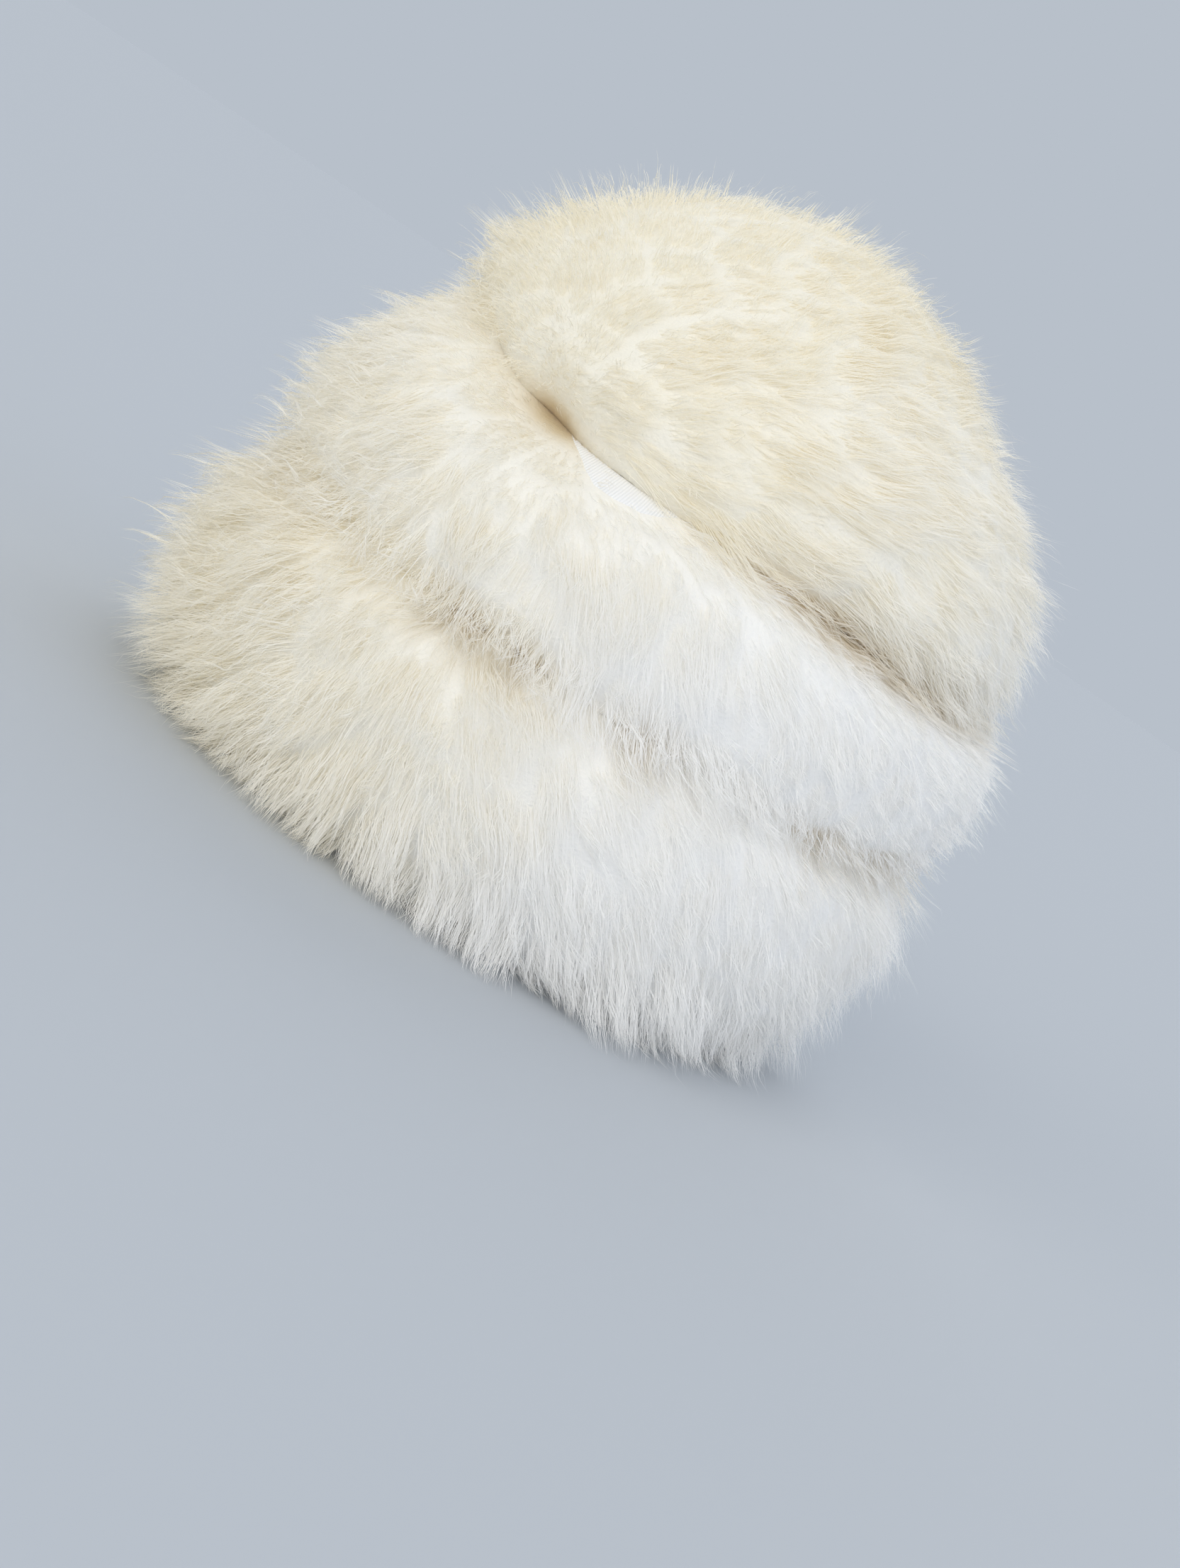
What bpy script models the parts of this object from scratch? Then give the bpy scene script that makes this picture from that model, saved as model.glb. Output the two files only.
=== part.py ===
"""A white lambskin hat of the Central Asian kind, three pelts high.

A furrier sews it from a round crown and two bands, each with its own deep
wool, so two grooves part the wool into three rolls. A woven tape binds the
upper seam and shows in one place on the wearer's left, where it is turned
down over the middle roll.

Metres, +Z up. The hat rests on the wool of its rim at Z = 0, its front
points along -X and the wearer's left is -Y. The origin is the middle of the
head opening.
"""

import math
import random
from collections import namedtuple

import bmesh
import bpy
from mathutils import Vector

# The hollow for the head: an oval of a 58 cm head, inside the pelts
HEAD_LENGTH = 0.203
HEAD_WIDTH = 0.168
PELT = 0.0025
RIM_HEIGHT = 0.005
SPRING_HEIGHT = 0.112
PELT_TOP = 0.232

# The outside of the wool
TOP = 0.283
SIDE_SHARE = 0.895
LOWER_SEAM = 0.097
UPPER_SEAM = 0.165
FRONT_RISE = 0.023
FRONT_SHARPNESS = 4
BACK_FALL = 0.009

# Clearances between pieces
GAP = 0.0003
SEAM_HALF_GAP = 0.0014
WELD = 0.00001

# The woven tape in the upper seam, and where it is turned down
TAPE = 0.0007
TAPE_REACH = 0.45
TAPE_TURNED_AT = math.radians(-107)
TAPE_TURNED_HALF = math.radians(20)
TAPE_TURN_DOWN = 0.009
TAPE_HEM = 0.0012
TAPE_OUT = 0.88

# Wool: the dense backing fills this share of the pile, and locks the rest
BACKING_SHARE = 0.86
GROOVE_SHARE = 0.30
GROOVE_WIDTH = 0.30
LUMP = 0.0016

AROUND = 36
LOCK_SIDES = 4

# An outline's row: share of the way up the roll, and how far the wool reaches
# from the hat's middle at the front and at the back
Row = namedtuple("Row", "rise front back")
LOWER_OUTLINE = (
    Row(0.00, 0.118, 0.126),
    Row(0.12, 0.133, 0.138),
    Row(0.28, 0.148, 0.150),
    Row(0.48, 0.158, 0.160),
    Row(0.68, 0.162, 0.162),
    Row(0.86, 0.157, 0.158),
    Row(1.00, 0.147, 0.149),
)
MIDDLE_OUTLINE = (
    Row(0.00, 0.146, 0.149),
    Row(0.14, 0.150, 0.155),
    Row(0.36, 0.151, 0.159),
    Row(0.56, 0.148, 0.160),
    Row(0.76, 0.138, 0.157),
    Row(0.90, 0.126, 0.151),
    Row(1.00, 0.117, 0.144),
)
CROWN_OUTLINE = (
    Row(0.00, 0.117, 0.144),
    Row(0.10, 0.122, 0.147),
    Row(0.24, 0.120, 0.144),
    Row(0.40, 0.111, 0.135),
    Row(0.56, 0.095, 0.116),
    Row(0.70, 0.077, 0.091),
    Row(0.84, 0.051, 0.060),
    Row(0.94, 0.026, 0.028),
    Row(1.00, 0.000, 0.000),
)

# A row of locks round a roll: where it grows, how many, how far its tips
# droop along the rise, and how far the wool is combed to the back
LockRow = namedtuple("LockRow", "rise count droop combed")
LOWER_LOCKS = (
    LockRow(0.26, 15, 0.20, 0.02),
    LockRow(0.47, 16, 0.28, 0.02),
    LockRow(0.68, 16, 0.28, 0.02),
    LockRow(0.88, 15, 0.18, 0.02),
)
MIDDLE_LOCKS = (
    LockRow(0.16, 15, 0.10, 0.05),
    LockRow(0.40, 16, 0.28, 0.06),
    LockRow(0.64, 16, 0.24, 0.08),
    LockRow(0.86, 14, 0.06, 0.10),
)
CROWN_LOCKS = (
    LockRow(0.13, 17, 0.06, 0.16),
    LockRow(0.30, 16, 0.02, 0.20),
    LockRow(0.46, 14, 0.00, 0.24),
    LockRow(0.61, 11, 0.00, 0.28),
    LockRow(0.75, 8, 0.00, 0.34),
    LockRow(0.89, 5, 0.00, 0.20),
)
COMBED_RISE = 0.45
LOCK_WIDTH = 0.038
LOCK_DEPTH_SHARE = 0.62
LOCK_ROOT = 0.62
LOCK_WAIST = 0.95
WAIST_SHARE = 0.70
LOCK_TIP = 1.06
LOCK_CLEAR = 0.0034
LOWEST_TIP = 0.05
HIGHEST_TIP = 0.97


def clear_scene():
    for thing in list(bpy.data.objects):
        bpy.data.objects.remove(thing, do_unlink=True)


def material(name, colour, roughness):
    made = bpy.data.materials.new(name)
    made.use_nodes = True
    shader = made.node_tree.nodes["Principled BSDF"]
    shader.inputs["Base Color"].default_value = (*colour, 1.0)
    shader.inputs["Roughness"].default_value = roughness
    shader.inputs["Metallic"].default_value = 0.0
    return made


# Where things are on the hat. An angle of 0 is the back, and pi the front.


def angles():
    return [2 * math.pi * step / AROUND for step in range(AROUND)]


def upper_seam(angle):
    """Height of the upper seam: level at the sides, high in front, a little low behind."""
    forward = -math.cos(angle)
    climb = FRONT_RISE * max(0.0, forward) ** FRONT_SHARPNESS
    fall = BACK_FALL * max(0.0, -forward) ** 2
    return UPPER_SEAM + climb - fall


def pelt_point(angle, height, inset=0.0):
    """A point on the pelts' outer face, or inset into them."""
    spring, top = SPRING_HEIGHT, PELT_TOP - inset
    closing = max(0.0, min(1.0, (height - spring) / (top - spring)))
    share = math.sqrt(1.0 - closing**2)
    length = HEAD_LENGTH / 2 + PELT - inset
    width = HEAD_WIDTH / 2 + PELT - inset
    return Vector((length * share * math.cos(angle), width * share * math.sin(angle), height))


def between(table, rise):
    """The outline's reach at a rise, as (front, back)."""
    rise = max(0.0, min(1.0, rise))
    for low, high in zip(table, table[1:]):
        if rise <= high.rise:
            share = (rise - low.rise) / (high.rise - low.rise)
            front = low.front + share * (high.front - low.front)
            back = low.back + share * (high.back - low.back)
            return front, back
    return table[-1].front, table[-1].back


class Roll:
    """One roll of wool: the stretch of pelt that it grows on, and its outline.

    A rise is a share of the way up the roll, 0 at its low seam and 1 at its high
    one, and grooves are the rises where the wool parts at a seam.
    """

    def __init__(self, outline, low, high, levels, grooves):
        self.outline = outline
        self.low = low
        self.high = high
        self.levels = levels
        self.grooves = grooves
        self.domed = outline[-1].front == 0.0

    def pelt_loop(self, level, gaps, inset):
        """A ring of points on the pelt, with gaps left at its low and high seams.

        An inset of 0 gives the pelt's outer face, and of PELT its inner one.
        """
        share = level / self.levels
        if self.domed:
            share = math.sin(math.pi / 2 * share)
        ring = []
        for angle in angles():
            low = self.low(angle) + gaps[0]
            high = PELT_TOP - inset if self.domed else self.high(angle) - gaps[1]
            ring.append(pelt_point(angle, low + share * (high - low), inset))
        return ring

    def rings(self):
        """The pelt's levels. A dome's last one is a single point, left out here."""
        return range(self.levels + (0 if self.domed else 1))

    def base(self, angle, rise):
        """Where a hair leaves the pelt."""
        low = self.low(angle)
        high = PELT_TOP + GAP if self.domed else self.high(angle)
        return pelt_point(angle, low + rise * (high - low), inset=-GAP)

    def tip(self, angle, rise):
        """Where a hair ends, on the outline."""
        front, back = between(self.outline, rise)
        low = self.low(angle)
        height = low + rise * (self.high(angle) - low)
        middle = (back - front) / 2
        reach = (back + front) / 2
        return Vector(
            (
                middle + reach * math.cos(angle),
                SIDE_SHARE * reach * math.sin(angle),
                height,
            )
        )

    def at(self, angle, rise, share):
        """A point in the wool, a share of the way from the pelt to the outline."""
        return self.base(angle, rise).lerp(self.tip(angle, rise), share)


LOWER = Roll(
    LOWER_OUTLINE,
    low=lambda angle: 0.0,
    high=lambda angle: LOWER_SEAM,
    levels=2,
    grooves=(1.0,),
)
MIDDLE = Roll(
    MIDDLE_OUTLINE,
    low=lambda angle: LOWER_SEAM,
    high=upper_seam,
    levels=4,
    grooves=(0.0, 1.0),
)
CROWN = Roll(
    CROWN_OUTLINE,
    low=upper_seam,
    high=lambda angle: TOP,
    levels=7,
    grooves=(0.0,),
)


# Meshes


def mesh_object(name, build, finish):
    """A named object whose mesh is filled in by build(bmesh)."""
    mesh = bpy.data.meshes.new(name)
    work = bmesh.new()
    build(work)
    bmesh.ops.recalc_face_normals(work, faces=work.faces)
    work.to_mesh(mesh)
    work.free()
    made = bpy.data.objects.new(name, mesh)
    bpy.context.scene.collection.objects.link(made)
    mesh.materials.append(finish)
    return made


def skin(work, loops, closed):
    """Faces between neighbouring loops of points. A loop of one point is a pole."""
    made = [[work.verts.new(point) for point in loop] for loop in loops]
    pairs = list(zip(made, made[1:]))
    if closed:
        pairs.append((made[-1], made[0]))
    for first, second in pairs:
        count = max(len(first), len(second))
        for step in range(count):
            after = (step + 1) % count
            if len(first) == 1:
                corners = (first[0], second[after], second[step])
            elif len(second) == 1:
                corners = (first[step], first[after], second[0])
            else:
                corners = (first[step], first[after], second[after], second[step])
            work.faces.new(corners)


def shade(made, sharp_degrees):
    made.data.shade_smooth()
    made.data.set_sharp_from_angle(angle=math.radians(sharp_degrees))


# The pelts


def pelt(name, roll, finish):
    """A roll's pelt: a band between two seams, or the dome above the upper one."""
    gaps = (GAP / 2, GAP / 2)
    outer = [roll.pelt_loop(level, gaps, 0.0) for level in roll.rings()]
    inner = [roll.pelt_loop(level, gaps, PELT) for level in reversed(roll.rings())]
    for loop in (outer[0], inner[-1]):
        for point in loop:
            point.z = max(point.z, RIM_HEIGHT)
    loops = inner + outer
    if roll.domed:
        loops = [[Vector((0, 0, PELT_TOP - PELT))]] + loops + [[Vector((0, 0, PELT_TOP))]]
    made = mesh_object(name, lambda work: skin(work, loops, closed=not roll.domed), finish)
    shade(made, 50)
    return made


# The wool


def backing_share(roll, angle, rise):
    """How full the backing is: thinner at a groove, and a little lumpy."""
    full = BACKING_SHARE
    for groove in roll.grooves:
        near = max(0.0, 1.0 - abs(rise - groove) / GROOVE_WIDTH)
        full -= GROOVE_SHARE * near**2
    pile = (roll.tip(angle, rise) - roll.base(angle, rise)).length
    lump = LUMP * math.sin(7 * angle + 9 * rise) * math.cos(4 * angle - 11 * rise)
    return full + lump / max(pile, LUMP)


def backing(name, roll, finish):
    """The closed body of dense wool that the locks are fused to."""
    gaps = [SEAM_HALF_GAP if groove in roll.grooves else 0.0 for groove in (0.0, 1.0)]
    shift = {0.0: gaps[0], 1.0: -gaps[1]}

    def outer(rise):
        ring = [roll.at(angle, rise, backing_share(roll, angle, rise)) for angle in angles()]
        for point in ring:
            point.z += shift.get(rise, 0.0)
        return ring

    inner = [roll.pelt_loop(level, gaps, -GAP) for level in reversed(roll.rings())]
    rises = [row.rise for row in roll.outline]
    if roll.domed:
        top_share = backing_share(roll, 0.0, 1.0)
        loops = [[Vector((0, 0, PELT_TOP + GAP))]] + inner
        loops += [outer(rise) for rise in rises[:-1]] + [[roll.at(0.0, 1.0, top_share)]]
    else:
        loops = inner + [outer(rise) for rise in rises]
    return mesh_object(
        name, lambda work: skin(work, loops, closed=not roll.domed), finish
    )


def kept_in_roll(roll, point):
    """The point, moved up or down if it would be past a seam or in the floor."""
    angle = math.atan2(point.y / SIDE_SHARE, point.x)
    low = roll.low(angle) + LOCK_CLEAR
    high = math.inf if roll.domed else roll.high(angle) - LOCK_CLEAR
    return Vector((point.x, point.y, max(low, min(high, point.z))))


def lock_mesh(work, roll, spine, width, flow):
    """A four-sided lock that tapers along its spine to a point."""
    root, waist, tip = spine
    along = (tip - root).normalized()
    side = along.cross(flow).normalized()
    up = side.cross(along).normalized()

    def ring(centre, share):
        points = []
        for step in range(LOCK_SIDES):
            turn = 2 * math.pi * step / LOCK_SIDES
            offset = side * math.cos(turn) + up * math.sin(turn) * LOCK_DEPTH_SHARE
            points.append(kept_in_roll(roll, centre + offset * width / 2 * share))
        return points

    base = [work.verts.new(point) for point in ring(root, 1.0)]
    upper = [work.verts.new(point) for point in ring(waist, WAIST_SHARE)]
    end = work.verts.new(kept_in_roll(roll, tip))
    work.faces.new(list(reversed(base)))
    for step in range(LOCK_SIDES):
        after = (step + 1) % LOCK_SIDES
        work.faces.new((base[step], base[after], upper[after], upper[step]))
        work.faces.new((upper[step], upper[after], end))


def turned_down(angle):
    """1 where the tape is turned down over the middle roll, falling to 0."""
    away = abs(math.remainder(angle - TAPE_TURNED_AT, 2 * math.pi))
    return max(0.0, 1.0 - (away / TAPE_TURNED_HALF) ** 2)


def beside_the_tape(roll, angle, rise):
    away = abs(math.remainder(angle - TAPE_TURNED_AT, 2 * math.pi))
    return roll is MIDDLE and rise > 0.65 and away < 1.5 * TAPE_TURNED_HALF


def locks(roll, rows, seed, finish):
    """One temporary object for each lock of a roll."""
    chance = random.Random(seed)
    made = []
    for number, row in enumerate(rows):
        for step in range(row.count):
            spot = step + 0.5 * (number % 2) + chance.uniform(-0.18, 0.18)
            angle = 2 * math.pi * spot / row.count
            rise = row.rise + chance.uniform(-0.02, 0.02)
            if beside_the_tape(roll, angle, rise):
                continue
            combed = angle - row.combed * math.sin(angle) * chance.uniform(0.8, 1.2)
            combed += chance.uniform(-0.04, 0.04)
            droop = row.droop + COMBED_RISE * row.combed * math.cos(angle)
            tip_rise = rise - droop * chance.uniform(0.8, 1.2)
            tip_rise = max(LOWEST_TIP, min(HIGHEST_TIP, tip_rise))
            length = LOCK_TIP + chance.uniform(-0.04, 0.03)
            spine = (
                roll.at(angle, rise, LOCK_ROOT),
                roll.at((angle + combed) / 2, (rise + tip_rise) / 2, LOCK_WAIST),
                roll.at(combed, tip_rise, length),
            )
            flow = roll.tip(combed, tip_rise) - roll.tip(angle, rise) + Vector((0, 0, -0.001))
            width = LOCK_WIDTH * chance.uniform(0.85, 1.1)

            def build(work, spine=spine, width=width, flow=flow):
                lock_mesh(work, roll, spine, width, flow)

            made.append(mesh_object(f"lock_{len(made)}", build, finish))
    return made


def fill_voids(mesh):
    """Removes every shell but the largest: the sealed voids between crossed locks."""
    work = bmesh.new()
    work.from_mesh(mesh)
    bmesh.ops.triangulate(work, faces=work.faces)
    bmesh.ops.remove_doubles(work, verts=work.verts, dist=WELD)
    left = set(work.faces)
    shells = []
    while left:
        shell, edge_of_shell = set(), {left.pop()}
        while edge_of_shell:
            shell |= edge_of_shell
            met = {near for face in edge_of_shell for edge in face.edges for near in edge.link_faces}
            edge_of_shell = met - shell
        left -= shell
        shells.append(shell)
    shells.sort(key=len)
    spare = [face for shell in shells[:-1] for face in shell]
    bmesh.ops.delete(work, geom=spare, context="FACES")
    work.to_mesh(mesh)
    work.free()


def fuse(body, pieces):
    """Joins the pieces to the body with one Boolean, and removes them."""
    group = bpy.data.collections.new(body.name + "_locks")
    bpy.context.scene.collection.children.link(group)
    for piece in pieces:
        group.objects.link(piece)
        bpy.context.scene.collection.objects.unlink(piece)
    union = body.modifiers.new("Locks", "BOOLEAN")
    union.operation = "UNION"
    union.operand_type = "COLLECTION"
    union.collection = group
    union.solver = "EXACT"
    graph = bpy.context.evaluated_depsgraph_get()
    fused = bpy.data.meshes.new_from_object(body.evaluated_get(graph))
    body.modifiers.remove(union)
    fill_voids(fused)
    body.data = fused
    for piece in pieces:
        bpy.data.objects.remove(piece, do_unlink=True)
    bpy.data.collections.remove(group)


def wool(name, roll, rows, seed, finish):
    """A roll's wool: the backing with every lock fused to it."""
    body = backing(name, roll, finish)
    fuse(body, locks(roll, rows, seed, finish))
    shade(body, 35)
    return body


# The tape of the upper seam


def seam_tape(name, finish):
    """A woven ring in the upper groove, its edge turned down in one place."""

    def section(angle):
        """The tape's mid-line at an angle: from the pelt out, and then down."""
        height = upper_seam(angle)
        inner = pelt_point(angle, height, inset=-2 * GAP)
        outline = MIDDLE.tip(angle, 1.0)
        outward = (outline - inner).normalized()
        turned = turned_down(angle)
        reach = TAPE_REACH + (TAPE_OUT - TAPE_REACH) * math.sqrt(turned)
        edge = inner.lerp(outline, reach)
        drop = TAPE_TURN_DOWN * turned**3
        hem = edge + outward * (TAPE_HEM + 0.7 * drop) - Vector((0, 0, drop))
        return inner, edge, hem, outward

    upper, lower = [], []
    for angle in angles():
        inner, edge, hem, outward = section(angle)
        half = Vector((0, 0, TAPE / 2))
        lean = (outward * turned_down(angle) + Vector((0, 0, 1))).normalized() * TAPE / 2
        upper.append((inner + half, edge + half, hem + lean))
        lower.append((inner - half, edge - half, hem - lean))
    loops = [[points[place] for points in upper] for place in range(3)]
    loops += [[points[place] for points in lower] for place in (2, 1, 0)]
    made = mesh_object(name, lambda work: skin(work, loops, closed=True), finish)
    shade(made, 40)
    return made


def main():
    clear_scene()
    skin_side = material("suede_skin_side", (0.72, 0.62, 0.48), 0.85)
    lambswool = material("white_lambswool", (0.90, 0.87, 0.79), 0.70)
    woven = material("woven_cotton_tape", (0.88, 0.88, 0.86), 0.80)

    pelt("lower_pelt", LOWER, skin_side)
    pelt("middle_pelt", MIDDLE, skin_side)
    pelt("crown_pelt", CROWN, skin_side)
    wool("lower_fur", LOWER, LOWER_LOCKS, 11, lambswool)
    wool("middle_fur", MIDDLE, MIDDLE_LOCKS, 12, lambswool)
    wool("crown_fur", CROWN, CROWN_LOCKS, 13, lambswool)
    seam_tape("seam_tape", woven)


main()
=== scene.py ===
# %% [markdown]
# # A tall hat of long white lambswool
#
# A Central Asian furrier sews this hat from three pieces of lambskin with the wool left on: a domed
# crown, a band below it, and a second band at the rim. The wool stands 4 to 6 cm deep, so the seams
# part it into three soft rolls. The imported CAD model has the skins, a plain body of wool for each
# roll and the tape in the upper seam, all at their real size.
#
# This notebook keeps the skins, and grows the wool that the eye sees. It works from the inside out:
# a dense under-wool first, then fine down, then the long locks with their curled tips, and last the
# woven tape, the finishes, the floor and the light.

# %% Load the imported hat
import math
from collections import namedtuple

import bmesh
import bpy
import numpy as np
from mathutils import Matrix, Vector, noise
from mathutils.bvhtree import BVHTree


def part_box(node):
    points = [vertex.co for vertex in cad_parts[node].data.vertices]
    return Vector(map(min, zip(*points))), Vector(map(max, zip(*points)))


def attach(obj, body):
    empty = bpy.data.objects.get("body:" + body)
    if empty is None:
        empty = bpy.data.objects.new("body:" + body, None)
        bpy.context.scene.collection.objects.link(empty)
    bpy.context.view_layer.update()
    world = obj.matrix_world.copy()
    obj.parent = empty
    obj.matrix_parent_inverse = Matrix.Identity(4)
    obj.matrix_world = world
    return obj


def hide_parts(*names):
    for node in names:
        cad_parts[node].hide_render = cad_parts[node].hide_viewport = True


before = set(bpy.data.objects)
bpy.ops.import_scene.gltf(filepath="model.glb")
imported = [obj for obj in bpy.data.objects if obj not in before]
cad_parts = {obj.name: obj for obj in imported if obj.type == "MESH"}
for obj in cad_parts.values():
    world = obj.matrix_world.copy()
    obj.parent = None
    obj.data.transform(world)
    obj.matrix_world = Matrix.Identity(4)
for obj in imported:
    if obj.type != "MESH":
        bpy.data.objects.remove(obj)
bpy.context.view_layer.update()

MM = 0.001


def shown_object(name, data):
    """A new object with this data, in the scene."""
    made = bpy.data.objects.new(name, data)
    bpy.context.scene.collection.objects.link(made)
    return made


# %% [markdown]
# ## The camera
#
# The photograph looks at the wearer's left side, almost level, and the hat sits tipped back on the
# head. Here the hat rests on a floor, so the camera is rolled by the same angle and sees the hat
# from the side that the photograph shows. A long focal length of the usual phone kind is worked out
# from how many pixels a millimetre takes up. The camera is then turned a little, so that the hat's
# middle lands where it is in the frame. Turning keeps the lens centred. A lens shift would not.

# %% The camera's place and its lens
PHOTO_WIDTH, PHOTO_HEIGHT = 1665, 2212
PIXELS_PER_MM = 3.66
HAT_MIDDLE = Vector((0.0, 0.0, 0.141))
HAT_MIDDLE_PIXEL = (926, 782)
CAMERA_DISTANCE = 0.9
CAMERA_ELEVATION = math.radians(5)
CAMERA_ROLL = math.radians(34)
SENSOR = 36.0

focal_pixels = PIXELS_PER_MM / MM * CAMERA_DISTANCE
lens_data = bpy.data.cameras.new("photo_camera")
lens_data.sensor_width = SENSOR
lens_data.lens = SENSOR * focal_pixels / PHOTO_HEIGHT
lens_data.clip_start = 0.05
camera = shown_object("photo_camera", lens_data)
bpy.context.scene.camera = camera

# %% Aim it, roll it and centre the hat
backwards = Vector((0.0, -math.cos(CAMERA_ELEVATION), math.sin(CAMERA_ELEVATION)))
aimed = (-backwards).to_track_quat("-Z", "Y").to_matrix()
across = (HAT_MIDDLE_PIXEL[0] - PHOTO_WIDTH / 2) / focal_pixels
down = (HAT_MIDDLE_PIXEL[1] - PHOTO_HEIGHT / 2) / focal_pixels
off_centre = Vector((across, -down, -1.0)).rotation_difference(Vector((0.0, 0.0, -1.0)))
turned = aimed @ Matrix.Rotation(CAMERA_ROLL, 3, "Z") @ off_centre.to_matrix()
camera.matrix_world = Matrix.LocRotScale(
    HAT_MIDDLE + backwards * CAMERA_DISTANCE, turned.to_quaternion(), None
)
print("lens in mm:", round(lens_data.lens, 1))

# %% [markdown]
# ## Where things are on the hat
#
# A place in the wool has three numbers. The *angle* goes round the head: 0 is the back, half a turn
# is the front. The *rise* goes up a roll, from 0 at its low seam to 1 at its high one. The *share*
# goes out along a hair, from 0 at the skin to 1 at the outline of the wool.
#
# The outline could be drawn as curves by hand. A short table with one row for each height reads
# better. The two bands have the tables that the CAD model was made from. The crown's is up to 8 mm
# wider than the CAD model's near its top, and up to 4 mm slimmer below, as in the photograph. A
# smooth curve is run through the rows. It goes through the squares of the numbers, because a
# dome's radius squared is what falls evenly towards its top. So the crown closes without a point.

# %% The skins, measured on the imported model
pelt_half_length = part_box("lower_pelt")[1].x
pelt_half_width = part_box("lower_pelt")[1].y
pelt_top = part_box("crown_pelt")[1].z
lower_seam = (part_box("lower_pelt")[1].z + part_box("middle_pelt")[0].z) / 2
SPRING_HEIGHT = 0.112
UPPER_SEAM = 0.165
FRONT_RISE = 0.023
FRONT_SHARPNESS = 4
BACK_FALL = 0.009
print("lower seam at", round(lower_seam / MM, 1), "mm, skins up to", round(pelt_top / MM, 1), "mm")


def upper_seam(angle):
    """Height of the upper seam: level at the sides, high in front and a little low behind."""
    forward = -np.cos(angle)
    climb = FRONT_RISE * np.maximum(0.0, forward) ** FRONT_SHARPNESS
    return UPPER_SEAM + climb - BACK_FALL * np.maximum(0.0, -forward) ** 2


# %% The outline of each roll
HAT_TOP = 0.283
SIDE_SHARE = 0.895

Row = namedtuple("Row", "rise front back")
LOWER_OUTLINE = (
    Row(0.00, 0.118, 0.126),
    Row(0.12, 0.133, 0.138),
    Row(0.28, 0.148, 0.150),
    Row(0.48, 0.158, 0.160),
    Row(0.68, 0.162, 0.162),
    Row(0.86, 0.157, 0.158),
    Row(1.00, 0.147, 0.149),
)
MIDDLE_OUTLINE = (
    Row(0.00, 0.146, 0.149),
    Row(0.14, 0.150, 0.155),
    Row(0.36, 0.151, 0.159),
    Row(0.56, 0.148, 0.160),
    Row(0.76, 0.138, 0.157),
    Row(0.90, 0.126, 0.151),
    Row(1.00, 0.117, 0.144),
)
CROWN_OUTLINE = (
    Row(0.00, 0.117, 0.144),
    Row(0.10, 0.121, 0.146),
    Row(0.24, 0.119, 0.141),
    Row(0.40, 0.109, 0.131),
    Row(0.56, 0.094, 0.112),
    Row(0.70, 0.078, 0.089),
    Row(0.84, 0.056, 0.062),
    Row(0.94, 0.034, 0.036),
    Row(1.00, 0.000, 0.000),
)


def curve_through(knots, values, at):
    """A smooth curve through the square of a table's column, read at any rise."""
    squares = values**2
    slopes = np.gradient(squares, knots)
    place = np.clip(np.searchsorted(knots, at) - 1, 0, len(knots) - 2)
    step = knots[place + 1] - knots[place]
    t = (at - knots[place]) / step
    ends = (1 + 2 * t) * (1 - t) ** 2 * squares[place] + t**2 * (3 - 2 * t) * squares[place + 1]
    bends = t * (1 - t) ** 2 * slopes[place] - t**2 * (1 - t) * slopes[place + 1]
    return np.sqrt(np.maximum(0.0, ends + step * bends))


# %% A roll of wool
class Roll:
    """One roll: the skin it grows on and its outline. Angles and rises may be whole arrays."""

    def __init__(self, name, outline, low, high):
        self.name = name
        self.rise, self.front, self.back = np.array(outline).T
        self.low = low
        self.high = high
        self.domed = self.front[-1] == 0.0

    def root(self, angle, rise):
        """Where a hair leaves the skin."""
        low = self.low(angle)
        high = pelt_top if self.domed else self.high(angle)
        height = low + rise * (high - low)
        closing = np.clip((height - SPRING_HEIGHT) / (pelt_top - SPRING_HEIGHT), 0.0, 1.0)
        share = np.sqrt(1.0 - closing**2)
        x = pelt_half_length * share * np.cos(angle)
        y = pelt_half_width * share * np.sin(angle)
        return np.stack([x, y, height], axis=-1)

    def tip(self, angle, rise):
        """Where a hair ends, on the outline."""
        front = curve_through(self.rise, self.front, rise)
        back = curve_through(self.rise, self.back, rise)
        reach = (front + back) / 2
        low = self.low(angle)
        x = (back - front) / 2 + reach * np.cos(angle)
        y = SIDE_SHARE * reach * np.sin(angle)
        return np.stack([x, y, low + rise * (self.high(angle) - low)], axis=-1)

    def at(self, angle, rise, share):
        """A point in the wool, a share of the way from the skin to the outline."""
        root = self.root(angle, rise)
        return root + np.asarray(share)[..., None] * (self.tip(angle, rise) - root)


LOWER = Roll("lower", LOWER_OUTLINE, lambda a: 0.0 * a, lambda a: lower_seam + 0.0 * a)
MIDDLE = Roll("middle", MIDDLE_OUTLINE, lambda a: lower_seam + 0.0 * a, upper_seam)
CROWN = Roll("crown", CROWN_OUTLINE, upper_seam, lambda a: HAT_TOP + 0.0 * a)
ROLLS = (LOWER, MIDDLE, CROWN)

# %% [markdown]
# ## Meshes from rings
#
# Every smooth body here is a stack of rings round the head. Each ring is a row of points, and one
# function joins neighbouring rings with quads. The rings go up the hat and round it anticlockwise,
# which makes the faces point outwards.

# %% Rings to a mesh
AROUND = 160
WELD = 0.02 * MM


def ring_grid(rises, around=AROUND):
    """Angles and rises of a grid of points, as two arrays of the same shape."""
    return np.meshgrid(np.arange(around) * 2 * math.pi / around, rises)


def ring_quads(rows, around, closed=False):
    """Corner numbers of the quads between neighbouring rings."""
    index = np.arange(rows * around).reshape(rows, around)
    if closed:
        index = np.concatenate([index, index[:1]])
    after = np.roll(index, -1, axis=1)
    return np.stack([index[:-1], after[:-1], after[1:], index[1:]], axis=-1).reshape(-1, 4)


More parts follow.
